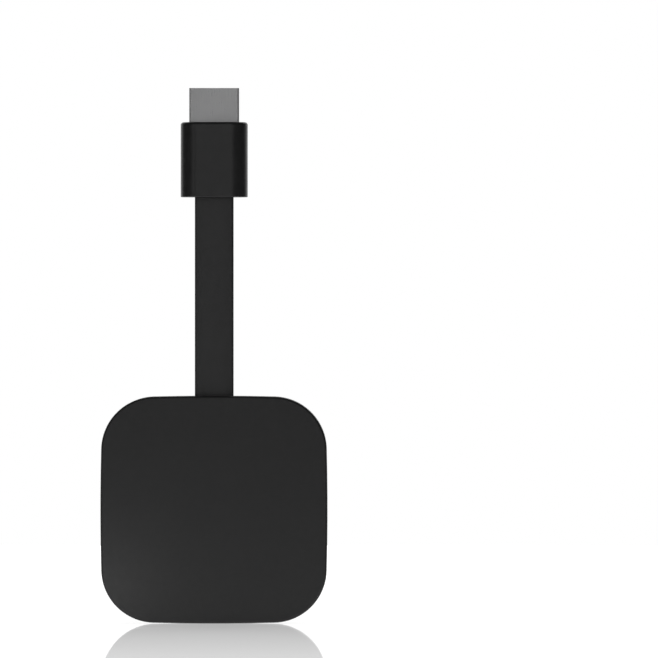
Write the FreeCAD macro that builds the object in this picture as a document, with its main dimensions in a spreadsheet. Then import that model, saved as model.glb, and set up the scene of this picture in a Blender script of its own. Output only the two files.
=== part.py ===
import FreeCAD, Part
import math
import os
import re
import Sketcher
from FreeCAD import Vector

# Streaming stick: a rounded square puck that hangs on a short flat lead from a plug.
# The frame: +X is the width, the front face looks along -Y, and +Z runs up to the plug's nose.
# The origin is the centre of the plug housing's nose face, where the metal shell leaves it.

document = FreeCAD.newDocument("StreamingStick")

# Driving dimensions in millimetres, and what follows from them

SIZES = [
    # The puck's outer form
    ("puck_width", "63.2"),
    ("puck_height", "63.3"),
    ("puck_depth", "14.5"),
    ("puck_corner", "14.9"),
    ("puck_bow", "690"),
    ("front_round", "0.7"),
    ("back_round", "1.3"),
    ("wall", "1.6"),
    ("seam_band", "4.0"),
    ("seam_reveal", "0.15"),
    ("lip_depth", "1.0"),
    ("lip_wall", "0.75"),
    ("fit", "0.1"),
    # The plug housing, its metal shell and what they hold
    ("plug_width", "18.7"),
    ("plug_depth", "10.2"),
    ("plug_length", "20.9"),
    ("plug_corner", "4.5"),
    ("plug_rim", "0.8"),
    ("plug_tail_round", "0.25"),
    ("plug_wall", "1.6"),
    ("shell_width", "13.9"),
    ("shell_depth", "4.45"),
    ("shell_chamfer", "1.35"),
    ("shell_sheet", "0.3"),
    ("shell_round", "0.5"),
    ("shell_reach", "9.5"),
    ("shell_root", "8.0"),
    ("shell_slit", "0.1"),
    ("latch_width", "2.0"),
    ("latch_length", "3.2"),
    ("latch_offset", "3.4"),
    ("latch_start", "3.0"),
    ("insulator_recess", "0.8"),
    ("insulator_root", "6.4"),
    ("tongue_slot_width", "11.9"),
    ("tongue_slot_depth", "1.3"),
    ("contact_pitch", "1.0"),
    ("contact_width", "0.45"),
    ("contact_sheet", "0.2"),
    ("contact_recess", "0.4"),
    ("contact_tail", "2.4"),
    ("plug_board_width", "12.6"),
    ("plug_board_length", "7.4"),
    # The flat strap and its conductors
    ("strap_width", "10.8"),
    ("strap_depth", "3.2"),
    ("strap_length", "55.4"),
    ("strap_edge", "0.6"),
    ("plug_anchor_width", "13.0"),
    ("plug_anchor_length", "2.0"),
    ("anchor_width", "14.0"),
    ("anchor_length", "2.2"),
    ("anchor_depth", "5.2"),
    ("anchor_edge", "0.8"),
    ("pair_radius", "0.7"),
    ("wire_radius", "0.33"),
    ("wire_web", "0.18"),
    ("bore_fit", "0.04"),
    ("core_radius", "0.1"),
    ("core_gap", "0.05"),
    ("core_length", "1.8"),
    ("wire_ends", "0.4"),
    # The main board and the bosses that carry it
    ("board_sheet", "0.8"),
    ("board_inset", "3.0"),
    ("boss_side", "22.5"),
    ("boss_upper", "17.0"),
    ("boss_lower", "20.0"),
    ("boss_foot", "2.7"),
    ("boss_neck", "1.9"),
    ("boss_slack", "0.15"),
    ("screw_shank", "0.8"),
    ("screw_head", "1.7"),
    ("screw_head_depth", "1.0"),
    ("screw_bite", "3.6"),
    ("screw_slack", "0.05"),
    ("anchor_rib", "1.2"),
    # Heat path: chips, pads, shield and spreaders
    ("processor_side", "14"),
    ("processor_depth", "1.2"),
    ("processor_x", "-6"),
    ("processor_z", "5"),
    ("chip_margin", "0.3"),
    ("shield_width", "36"),
    ("shield_height", "26"),
    ("shield_z", "4"),
    ("shield_stand", "1.9"),
    ("shield_sheet", "0.2"),
    ("shield_flange", "1.2"),
    ("shield_corner", "1"),
    ("shield_skirt", "1.1"),
    ("pad_margin", "3"),
    ("spreader_sheet", "1.2"),
    ("front_spreader_width", "52"),
    ("front_spreader_height", "46"),
    ("front_spreader_corner", "7"),
    ("front_spreader_z", "-1.5"),
    ("front_air", "1.0"),
    ("pedestal_depth", "0.4"),
    ("memory_width", "9"),
    ("memory_height", "11"),
    ("memory_depth", "1.0"),
    ("memory_x", "6.5"),
    ("memory_z", "6"),
    ("storage_side", "11.5"),
    ("storage_z", "-9"),
    ("rear_pad_depth", "1.2"),
    ("rear_spreader_width", "44"),
    ("rear_spreader_height", "34"),
    ("rear_spreader_corner", "4"),
    ("stake_x", "18"),
    ("stake_z", "12"),
    ("stake_radius", "0.9"),
    ("stake_foot", "1.8"),
    ("stake_slack", "0.1"),
    ("stake_proud", "0.3"),
    # Inlet, indicator and reset button along the puck's foot
    ("inlet_width", "8.94"),
    ("inlet_depth", "3.26"),
    ("inlet_length", "7.35"),
    ("inlet_sheet", "0.3"),
    ("inlet_recess", "0.6"),
    ("inlet_slack", "0.15"),
    ("inlet_block", "1.8"),
    ("inlet_tongue_width", "6.7"),
    ("inlet_tongue_sheet", "0.7"),
    ("inlet_tongue_recess", "0.8"),
    ("inlet_pitch", "0.5"),
    ("inlet_contact_width", "0.25"),
    ("inlet_contact_sheet", "0.12"),
    ("inlet_ear", "1.2"),
    ("pipe_x", "-9.5"),
    ("pipe_radius", "0.8"),
    ("pipe_flange", "1.3"),
    ("pipe_flange_depth", "0.6"),
    ("pipe_recess", "0.1"),
    ("led_width", "1.6"),
    ("led_side", "0.8"),
    ("led_gap", "0.15"),
    ("reset_x", "9.5"),
    ("reset_radius", "1.7"),
    ("reset_slack", "0.1"),
    ("reset_recess", "0.1"),
    ("reset_flange", "2.4"),
    ("reset_flange_depth", "0.7"),
    ("reset_travel", "0.3"),
    ("reset_round", "0.3"),
    ("switch_width", "4.6"),
    ("switch_depth", "1.7"),
    ("switch_length", "3.4"),
    ("switch_bore_depth", "1.6"),
    ("plunger_radius", "0.75"),
    ("plunger_slack", "0.08"),
    # Snap hooks between the covers
    ("hook_side_z", "11"),
    ("hook_end_x", "15.5"),
    ("hook_wide", "4.6"),
    ("hook_sheet", "1.0"),
    ("hook_bite", "0.4"),
    ("hook_tip", "1.5"),
    ("hook_drop", "0.8"),
    ("cover_rib", "1.0"),
    ("cover_rib_stand", "1.1"),
    ("cover_rib_x", "12"),
    ("cover_rib_z", "20"),
    # Radio parts and small parts on the board
    ("radio_width", "12"),
    ("radio_height", "9"),
    ("radio_depth", "1.6"),
    ("radio_x", "-12.5"),
    ("radio_z", "-17.5"),
    ("antenna_inset", "2.4"),
    ("antenna_z", "2"),
    ("antenna_length", "13"),
    ("antenna_stand", "2.6"),
    ("antenna_sheet", "0.25"),
    ("antenna_fold", "1.6"),
    ("power_side", "4"),
    ("power_depth", "1"),
    ("power_x", "9"),
    ("power_z", "-14"),
    ("coil_side", "3"),
    ("coil_depth", "1.5"),
    ("coil_pitch", "4.2"),
    ("coil_z", "-19.5"),
    ("capacitor_width", "0.8"),
    ("capacitor_height", "1.6"),
    ("capacitor_pitch", "1.9"),
    ("capacitor_z", "20.5"),
    ("crystal_width", "3.2"),
    ("crystal_height", "2.5"),
    ("crystal_depth", "0.8"),
    ("crystal_x", "15.5"),
    # Levels along Z
    ("plug_base", "=-plug_length"),
    ("puck_top", "=plug_base - strap_length"),
    ("puck_mid", "=puck_top - puck_height / 2"),
    ("insulator_top", "=shell_reach - insulator_recess"),
    ("plug_board_top", "=-insulator_root - contact_gap"),
    ("contact_gap", "=fit"),
    ("plug_board_low", "=plug_board_top - plug_board_length"),
    ("plug_anchor_low", "=plug_base + plug_wall + fit"),
    ("jacket_top", "=plug_anchor_low + plug_anchor_length"),
    ("inner_top", "=puck_height / 2 - wall"),
    ("anchor_low", "=inner_top - fit - anchor_length"),
    ("jacket_low", "=puck_mid + anchor_low"),
    ("rib_low", "=anchor_low - fit - anchor_rib"),
    ("board_top", "=rib_low - core_length - wire_ends + core_overlap"),
    ("core_overlap", "=core_length - 2 * fit"),
    ("wires_top", "=plug_board_low - fit"),
    ("wires_low", "=puck_mid + board_top + fit"),
    # Levels along Y
    ("front_face", "=-puck_depth / 2"),
    ("front_floor", "=front_face + wall"),
    ("back_face", "=puck_depth / 2"),
    ("back_floor", "=back_face - wall"),
    ("seam", "=back_face - seam_band"),
    ("cover_rim", "=seam + seam_reveal"),
    ("board_front", "=-board_sheet / 2"),
    ("board_back", "=board_sheet / 2"),
    ("shield_face", "=board_front - shield_stand - shield_sheet"),
    ("spreader_front", "=front_floor + front_air"),
    ("spreader_back", "=spreader_front + spreader_sheet"),
    ("pedestal_back", "=spreader_back + pedestal_depth"),
    ("rear_spreader_front", "=board_back + memory_depth + rear_pad_depth"),
    ("rear_spreader_back", "=rear_spreader_front + spreader_sheet"),
    ("snap_high", "=seam - lip_depth - hook_drop"),
    ("snap_low", "=snap_high - hook_tip"),
    ("pipe_y", "=board_front - led_side / 2"),
    ("reset_y", "=board_front - switch_depth / 2"),
    ("core_y", "=board_back + core_gap + core_radius"),
    # Places along X of the conductors in the strap
    ("wire_inner", "=wire_radius + wire_web / 2"),
    ("wire_stack", "=wire_radius + wire_web / 2"),
    ("pair_inner", "=wire_inner + wire_radius + wire_web + pair_radius"),
    ("wire_outer", "=pair_inner + pair_radius + wire_web + wire_radius"),
    ("pair_outer", "=wire_outer + wire_radius + wire_web + pair_radius"),
    ("bundle_width", "=2 * (pair_outer + pair_radius + fit)"),
    ("bundle_depth", "=2 * (wire_stack + wire_radius + fit)"),
    # The antennas stand in from the board's two sides
    ("antenna_x", "=puck_width / 2 - board_inset - antenna_inset"),
    # The inlet, button and indicator, seen from the puck's middle
    ("board_foot", "=-puck_height / 2 + board_inset"),
    ("inlet_mouth", "=-puck_height / 2 + inlet_recess"),
    ("inlet_back", "=inlet_mouth + inlet_length"),
    ("reset_face", "=-puck_height / 2 + reset_x ^ 2 / (2 * puck_bow) + reset_recess"),
    ("reset_ledge", "=-inner_top + reset_x ^ 2 / (2 * puck_bow) + fit"),
    ("reset_back", "=reset_ledge + reset_flange_depth"),
    ("switch_front", "=reset_back + reset_travel + fit + plunger_proud"),
    ("plunger_proud", "=fit"),
    ("switch_back", "=switch_front + switch_length"),
    ("pipe_face", "=-puck_height / 2 + pipe_x ^ 2 / (2 * puck_bow) + pipe_recess"),
    ("pipe_ledge", "=-inner_top + pipe_x ^ 2 / (2 * puck_bow) + fit / 2"),
    ("led_front", "=board_foot"),
    ("pipe_back", "=led_front - led_gap"),
    # How far the bowed wall has fallen back at the far end of each snap hook
    ("side_fall", "=(hook_side_z + hook_wide / 2) ^ 2 / (2 * puck_bow)"),
    ("end_fall", "=(hook_end_x + hook_wide / 2) ^ 2 / (2 * puck_bow)"),
]

FRONT_CONTACTS = 10
REAR_CONTACTS = 9
INLET_CONTACTS = 12
CAPACITORS = 8
COILS = 3

sheet = document.addObject("Spreadsheet::Sheet", "Size")
for row, (alias, amount) in enumerate(SIZES, start=1):
    sheet.set(f"A{row}", alias.replace("_", " "))
    sheet.set(f"B{row}", amount)
    sheet.setAlias(f"B{row}", alias)
trial = document.addObject("Spreadsheet::Sheet", "Trial")
document.recompute()
ALIASES = {alias for alias, amount in SIZES}


def cells(expression):
    """The expression with each alias pointed at the sheet."""

    def point(found):
        word = found.group(0)
        return "Size." + word if word in ALIASES else word

    return re.sub(r"[A-Za-z_]+", point, str(expression))


def amount_of(expression):
    """What an expression of aliases comes to, worked out in a trial cell."""
    trial.set("A1", "=" + cells(expression))
    trial.recompute()
    return float(trial.get("A1"))


# Sketch outlines, each drawn near its place and then bound to the sheet


def bind(sketch, kind, where, expression):
    """Adds a dimension to a sketch and binds it."""
    number = sketch.addConstraint(
        Sketcher.Constraint(kind, *where, amount_of(expression))
    )
    sketch.setExpression(f"Constraints[{number}]", cells(expression))


def arc(x, y, radius, start, end):
    circle = Part.Circle(Vector(x, y, 0), Vector(0, 0, 1), radius)
    return Part.ArcOfCircle(circle, start, end)


def line(x1, y1, x2, y2):
    return Part.LineSegment(Vector(x1, y1, 0), Vector(x2, y2, 0))


def circle(x, y, radius):
    def draw(sketch):
        first = sketch.GeometryCount
        centre = Vector(amount_of(x), amount_of(y), 0)
        sketch.addGeometry(
            Part.Circle(centre, Vector(0, 0, 1), amount_of(radius)), False
        )
        bind(sketch, "DistanceX", (-1, 1, first, 3), x)
        bind(sketch, "DistanceY", (-1, 1, first, 3), y)
        bind(sketch, "Radius", (first,), radius)

    return draw


def rectangle(left, right, low, high):
    def draw(sketch):
        first = sketch.GeometryCount
        x1, x2 = amount_of(left), amount_of(right)
        y1, y2 = amount_of(low), amount_of(high)
        sketch.addGeometry(
            [
                line(x1, y1, x2, y1),
                line(x2, y1, x2, y2),
                line(x2, y2, x1, y2),
                line(x1, y2, x1, y1),
            ],
            False,
        )
        for k in range(4):
            after = first + (k + 1) % 4
            sketch.addConstraint(
                Sketcher.Constraint("Coincident", first + k, 2, after, 1)
            )
            level = "Vertical" if k % 2 else "Horizontal"
            sketch.addConstraint(Sketcher.Constraint(level, first + k))
        bind(sketch, "DistanceX", (-1, 1, first, 1), left)
        bind(sketch, "DistanceX", (-1, 1, first + 1, 1), right)
        bind(sketch, "DistanceY", (-1, 1, first, 1), low)
        bind(sketch, "DistanceY", (-1, 1, first + 2, 1), high)

    return draw


def rounded(left, right, low, high, corner):
    """A rectangle with one corner radius."""

    def draw(sketch):
        first = sketch.GeometryCount
        x1, x2 = amount_of(left), amount_of(right)
        y1, y2 = amount_of(low), amount_of(high)
        r = amount_of(corner)
        turn = math.pi / 2
        sketch.addGeometry(
            [
                line(x1 + r, y1, x2 - r, y1),
                arc(x2 - r, y1 + r, r, 3 * turn, 4 * turn),
                line(x2, y1 + r, x2, y2 - r),
                arc(x2 - r, y2 - r, r, 0, turn),
                line(x2 - r, y2, x1 + r, y2),
                arc(x1 + r, y2 - r, r, turn, 2 * turn),
                line(x1, y2 - r, x1, y1 + r),
                arc(x1 + r, y1 + r, r, 2 * turn, 3 * turn),
            ],
            False,
        )
        for k in range(8):
            after = first + (k + 1) % 8
            sketch.addConstraint(Sketcher.Constraint("Tangent", first + k, 2, after, 1))
        for k in (0, 4):
            sketch.addConstraint(Sketcher.Constraint("Horizontal", first + k))
            sketch.addConstraint(Sketcher.Constraint("Vertical", first + k + 2))
        for k in (3, 5, 7):
            sketch.addConstraint(Sketcher.Constraint("Equal", first + 1, first + k))
        bind(sketch, "DistanceX", (-1, 1, first + 6, 1), left)
        bind(sketch, "DistanceX", (-1, 1, first + 2, 1), right)
        bind(sketch, "DistanceY", (-1, 1, first, 1), low)
        bind(sketch, "DistanceY", (-1, 1, first + 4, 1), high)
        bind(sketch, "Radius", (first + 1,), corner)

    return draw


def centred(width, height, corner=None, x="0", y="0"):
    """A rectangle about a centre, with or without a corner radius."""
    half_width, half_height = f"({width}) / 2", f"({height}) / 2"
    sides = (
        f"{x} - {half_width}",
        f"{x} + {half_width}",
        f"{y} - {half_height}",
        f"{y} + {half_height}",
    )
    return rectangle(*sides) if corner is None else rounded(*sides, corner)


def slot(width, depth):
    """Two half circles joined by straight lines."""

    def draw(sketch):
        first = sketch.GeometryCount
        r = amount_of(depth) / 2
        reach = amount_of(width) / 2 - r
        turn = math.pi / 2
        sketch.addGeometry(
            [
                line(-reach, -r, reach, -r),
                arc(reach, 0, r, -turn, turn),
                line(reach, r, -reach, r),
                arc(-reach, 0, r, turn, 3 * turn),
            ],
            False,
        )
        for k in range(4):
            after = first + (k + 1) % 4
            sketch.addConstraint(Sketcher.Constraint("Tangent", first + k, 2, after, 1))
        sketch.addConstraint(Sketcher.Constraint("Horizontal", first))
        centre = f"(({width}) - ({depth})) / 2"
        bind(sketch, "DistanceX", (-1, 1, first + 1, 3), centre)
        bind(sketch, "DistanceX", (-1, 1, first + 3, 3), f"-{centre}")
        bind(sketch, "DistanceY", (-1, 1, first + 1, 3), "0")
        bind(sketch, "Radius", (first + 1,), f"({depth}) / 2")

    return draw


def squircle(inset):
    """The puck's outline moved inward: four bowed sides and four corner arcs, all tangent."""

    def draw(sketch):
        first = sketch.GeometryCount
        shift = amount_of(inset)
        bow = amount_of("puck_bow") - shift
        r = amount_of("puck_corner") - shift
        half_x = amount_of("puck_width / 2") - shift
        half_z = amount_of("puck_height / 2") - shift
        side, end = bow - half_x, bow - half_z
        x, z = half_x - r, half_z - r
        # the corner's centre lies at bow - r from the centres of both sides it joins
        for attempt in range(30):
            miss_1 = (x + side) ** 2 + z**2 - (bow - r) ** 2
            miss_2 = x**2 + (z + end) ** 2 - (bow - r) ** 2
            scale = 2 * ((x + side) * (z + end) - x * z)
            step_x = (miss_1 * (z + end) - miss_2 * z) / scale
            step_z = (miss_2 * (x + side) - miss_1 * x) / scale
            x -= step_x
            z -= step_z
        low = math.atan2(z, x + side)
        high = math.atan2(z + end, x)
        pi = math.pi
        sketch.addGeometry(
            [
                arc(-side, 0, bow, -low, low),
                arc(x, z, r, low, high),
                arc(0, -end, bow, high, pi - high),
                arc(-x, z, r, pi - high, pi - low),
                arc(side, 0, bow, pi - low, pi + low),
                arc(-x, -z, r, pi + low, pi + high),
                arc(0, end, bow, pi + high, 2 * pi - high),
                arc(x, -z, r, 2 * pi - high, 2 * pi - low),
            ],
            False,
        )
        for k in range(8):
            after = first + (k + 1) % 8
            sketch.addConstraint(Sketcher.Constraint("Tangent", first + k, 2, after, 1))
        for k in (2, 4, 6):
            sketch.addConstraint(Sketcher.Constraint("Equal", first, first + k))
            sketch.addConstraint(Sketcher.Constraint("Equal", first + 1, first + k + 1))
        for k, axis in ((0, -1), (4, -1), (2, -2), (6, -2)):
            sketch.addConstraint(
                Sketcher.Constraint("PointOnObject", first + k, 3, axis)
            )
        bind(sketch, "Radius", (first,), f"puck_bow - ({inset})")
        bind(sketch, "Radius", (first + 1,), f"puck_corner - ({inset})")
        bind(sketch, "DistanceX", (first, 3, -1, 1), "puck_bow - puck_width / 2")
        bind(sketch, "DistanceX", (-1, 1, first + 4, 3), "puck_bow - puck_width / 2")
        bind(sketch, "DistanceY", (first + 2, 3, -1, 1), "puck_bow - puck_height / 2")
        bind(sketch, "DistanceY", (-1, 1, first + 6, 3), "puck_bow - puck_height / 2")

    return draw


def arched(width, low):
    """A block whose top follows the puck's bowed upper side."""

    def draw(sketch):
        first = sketch.GeometryCount
        half = amount_of(width) / 2
        base = amount_of(low)
        bow = amount_of("puck_bow")
        centre = amount_of("puck_height / 2 - puck_bow")
        lean = math.asin(half / bow)
        crown = centre + bow * math.cos(lean)
        upright = math.pi / 2
        sketch.addGeometry(
            [
                line(-half, base, half, base),
                line(half, base, half, crown),
                arc(0, centre, bow, upright - lean, upright + lean),
                line(-half, crown, -half, base),
            ],
            False,
        )
        for k in range(4):
            after = first + (k + 1) % 4
            sketch.addConstraint(
                Sketcher.Constraint("Coincident", first + k, 2, after, 1)
            )
        sketch.addConstraint(Sketcher.Constraint("Horizontal", first))
        sketch.addConstraint(Sketcher.Constraint("Vertical", first + 1))
        sketch.addConstraint(Sketcher.Constraint("Vertical", first + 3))
        sketch.addConstraint(Sketcher.Constraint("PointOnObject", first + 2, 3, -2))
        bind(sketch, "DistanceX", (-1, 1, first, 1), f"-({width}) / 2")
        bind(sketch, "DistanceX", (-1, 1, first, 2), f"({width}) / 2")
        bind(sketch, "DistanceY", (-1, 1, first, 1), low)
        bind(sketch, "Radius", (first + 2,), "puck_bow")
        bind(sketch, "DistanceY", (first + 2, 3, -1, 1), "puck_bow - puck_height / 2")

    return draw


def plug_section(inset):
    """The metal shell's section: a rectangle with its two rear corners cut off."""

    def draw(sketch):
        first = sketch.GeometryCount
        side = f"shell_width / 2 - ({inset})"
        depth = f"shell_depth / 2 - ({inset})"
        cut = f"shell_chamfer - ({inset}) * (2 - sqrt(2))"
        x, y, c = amount_of(side), amount_of(depth), amount_of(cut)
        corners = [
            (-x, -y),
            (x, -y),
            (x, y - c),
            (x - c, y),
            (c - x, y),
            (-x, y - c),
        ]
        sketch.addGeometry(
            [line(*corners[k], *corners[(k + 1) % 6]) for k in range(6)], False
        )
        for k in range(6):
            after = first + (k + 1) % 6
            sketch.addConstraint(
                Sketcher.Constraint("Coincident", first + k, 2, after, 1)
            )
        for k, level in ((0, "Horizontal"), (3, "Horizontal"), (1, "Vertical")):
            sketch.addConstraint(Sketcher.Constraint(level, first + k))
        sketch.addConstraint(Sketcher.Constraint("Vertical", first + 5))
        bind(sketch, "DistanceX", (-1, 1, first, 1), f"-({side})")
        bind(sketch, "DistanceX", (-1, 1, first, 2), side)
        bind(sketch, "DistanceY", (-1, 1, first, 1), f"-({depth})")
        bind(sketch, "DistanceY", (-1, 1, first + 3, 1), depth)
        bind(sketch, "DistanceX", (first + 3, 1, first + 1, 2), cut)
        bind(sketch, "DistanceY", (first + 1, 2, first + 3, 1), cut)
        bind(sketch, "DistanceX", (first + 5, 1, first + 3, 2), cut)
        bind(sketch, "DistanceY", (first + 5, 1, first + 3, 2), cut)

    return draw


# Features: every slab runs from its low level to its high level along the plane's own axis

ACROSS_DEPTH = "XZ_Plane"
ACROSS_HEIGHT = "XY_Plane"


def new_body(name, height=None):
    """A body whose label names its file. Pieces of the puck are drawn about the puck's middle."""
    body = document.addObject("PartDesign::Body", name)
    body.Label = name
    if height:
        body.setExpression("Placement.Base.z", cells(height))
    return body


def sketch_at(body, plane, level, outlines):
    sketch = body.newObject("Sketcher::SketchObject", body.Name + "_outline")
    support = next(p for p in body.Origin.OriginFeatures if p.Role == plane)
    sketch.AttachmentSupport = [(support, "")]
    sketch.MapMode = "FlatFace"
    # the plane across the depth looks toward the front, so its offset counts backwards
    sign = "-" if plane == ACROSS_DEPTH else ""
    sketch.setExpression("AttachmentOffset.Base.z", cells(f"{sign}({level})"))
    for draw in outlines:
        draw(sketch)
    return sketch


def pad(body, plane, low, high, *outlines):
    """Adds material between two levels."""
    sketch = sketch_at(body, plane, low, outlines)
    feature = body.newObject("PartDesign::Pad", body.Name + "_slab")
    feature.Profile = sketch
    feature.setExpression("Length", cells(f"({high}) - ({low})"))
    feature.Reversed = plane == ACROSS_DEPTH
    document.recompute()
    return feature


def pocket(body, plane, low, high, *outlines):
    """Takes material away between two levels, and stops if it took none."""
    before = body.Shape.Volume
    sketch = sketch_at(body, plane, low, outlines)
    feature = body.newObject("PartDesign::Pocket", body.Name + "_cut")
    feature.Profile = sketch
    feature.setExpression("Length", cells(f"({high}) - ({low})"))
    feature.Reversed = plane != ACROSS_DEPTH
    document.recompute()
    if not feature.Shape.Volume < before - 1e-6:
        raise ValueError(f"a pocket in {body.Label} cuts nothing")
    return feature


def edges_on(feature, axis, level, reach=0.0):
    """The names of a feature's edges that lie in one plane and pass at least that far out."""
    chosen = []
    where = amount_of(level)
    # the feature's shape is measured in the body's own frame
    for number, edge in enumerate(feature.Shape.Edges, start=1):
        box = edge.BoundBox
        lows = {"x": box.XMin, "y": box.YMin, "z": box.ZMin}
        highs = {"x": box.XMax, "y": box.YMax, "z": box.ZMax}
        flat = abs(lows[axis] - where) < 1e-4 and abs(highs[axis] - where) < 1e-4
        out = max(abs(box.XMin), abs(box.XMax))
        if flat and out >= reach:
            chosen.append(f"Edge{number}")
    return chosen


def upright_edges(feature, inside):
    """The names of the plug's straight edges along Z, on one side of the middle of its sheet."""
    chosen = []
    half_width = amount_of("(shell_width - shell_sheet) / 2")
    half_depth = amount_of("(shell_depth - shell_sheet) / 2")
    sheet_thickness = amount_of("shell_sheet")
    for number, edge in enumerate(feature.Shape.Edges, start=1):
        box = edge.BoundBox
        thin = box.XLength < 1e-4 and box.YLength < 1e-4 and box.ZLength > sheet_thickness
        within = abs(box.XMin) < half_width and abs(box.YMin) < half_depth
        if thin and within == inside:
            chosen.append(f"Edge{number}")
    return chosen


def fillet(body, feature, edges, radius):
    """Rounds the named edges of the last feature."""
    if not edges:
        raise ValueError(f"no edge to round on {body.Label}")
    rounding = body.newObject("PartDesign::Fillet", body.Name + "_round")
    rounding.Base = (feature, edges)
    rounding.setExpression("Radius", cells(radius))
    document.recompute()
    return rounding


# The puck's covers


def boss_places():
    return [
        (f"{side} * boss_side", level)
        for side in (1, -1)
        for level in ("boss_upper", "-boss_lower")
    ]


def snap_boxes(outer, inner):
    """One rectangle for each snap hook, between two depths measured inward from the wall's outer face."""
    boxes = []
    for sign in (1, -1):
        for place in (1, -1):
            near = "puck_width / 2 - side_fall"
            ends = sorted([f"{near} - ({outer})", f"{near} - ({inner})"], key=amount_of)
            sides = [f"{sign} * ({end})" for end in ends][::sign]
            middle = f"{place} * hook_side_z"
            boxes.append(
                rectangle(*sides, f"{middle} - hook_wide / 2", f"{middle} + hook_wide / 2")
            )
            near = "puck_height / 2 - end_fall"
            ends = sorted([f"{near} - ({outer})", f"{near} - ({inner})"], key=amount_of)
            sides = [f"{sign} * ({end})" for end in ends][::sign]
            middle = f"{place} * hook_end_x"
            boxes.append(
                rectangle(f"{middle} - hook_wide / 2", f"{middle} + hook_wide / 2", *sides)
            )
    return boxes


def make_front_cover():
    """The deep front shell: face, side wall, bosses, strap cradle and the openings in its foot."""
    body = new_body("front_cover", "puck_mid")
    block = pad(body, ACROSS_DEPTH, "front_face", "seam", squircle("0"))
    fillet(body, block, edges_on(block, "y", "front_face"), "front_round")
    pocket(body, ACROSS_DEPTH, "front_floor", "seam", squircle("wall"))
    pocket(body, ACROSS_DEPTH, "seam - lip_depth", "seam", squircle("lip_wall"))

    feet = [circle(x, z, "boss_foot") for x, z in boss_places()]
    pad(body, ACROSS_DEPTH, "front_floor", "spreader_front", *feet)
    necks = [circle(x, z, "boss_neck") for x, z in boss_places()]
    pad(body, ACROSS_DEPTH, "spreader_front", "board_front", *necks)
    pilots = [circle(x, z, "screw_shank + screw_slack") for x, z in boss_places()]
    pocket(body, ACROSS_DEPTH, "board_front - screw_bite - fit", "board_front", *pilots)

    # The cradle holds the strap's moulded anchor between a floor, two cheeks and a lower rib
    cheek = "anchor_width / 2 + fit"
    cradle = rectangle(
        f"-({cheek}) - anchor_rib", f"{cheek} + anchor_rib", "rib_low", "inner_top + fit"
    )
    pad(body, ACROSS_DEPTH, "front_floor", "-anchor_depth / 2 - fit", cradle)
    cheeks = [
        rectangle(cheek, f"{cheek} + anchor_rib", "rib_low", "inner_top + fit"),
        rectangle(f"-({cheek}) - anchor_rib", f"-({cheek})", "rib_low", "inner_top + fit"),
    ]
    pad(body, ACROSS_DEPTH, "-anchor_depth / 2 - fit", "seam - lip_depth", *cheeks)
    lower_rib = rectangle(f"-({cheek})", cheek, "rib_low", "rib_low + anchor_rib")
    pad(body, ACROSS_DEPTH, "-anchor_depth / 2 - fit", "-bundle_depth / 2", lower_rib)

    exit_width, exit_depth = "strap_width + 2 * fit", "strap_depth + 2 * fit"
    exit_hole = centred(exit_width, exit_depth, "strap_edge + fit")
    pocket(body, ACROSS_HEIGHT, "inner_top - fit", "puck_height / 2 + wall", exit_hole)
    exit_slot = rectangle(
        f"-({exit_width}) / 2",
        f"({exit_width}) / 2",
        "inner_top - fit",
        "puck_height / 2 + wall",
    )
    pocket(body, ACROSS_DEPTH, "strap_depth / 2 + fit - strap_edge", "seam", exit_slot)

    foot_low, foot_high = "-puck_height / 2 - wall", "-inner_top + wall / 2"
    openings = [
        slot("inlet_width + 2 * inlet_slack", "inlet_depth + 2 * inlet_slack"),
        circle("reset_x", "reset_y", "reset_radius + reset_slack"),
        circle("pipe_x", "pipe_y", "pipe_radius + fit / 2"),
    ]
    pocket(body, ACROSS_HEIGHT, foot_low, foot_high, *openings)

    recesses = snap_boxes("wall - hook_bite - fit", "wall + side_fall + fit")
    pocket(body, ACROSS_DEPTH, "snap_low", "snap_high", *recesses)
    return body


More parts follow.
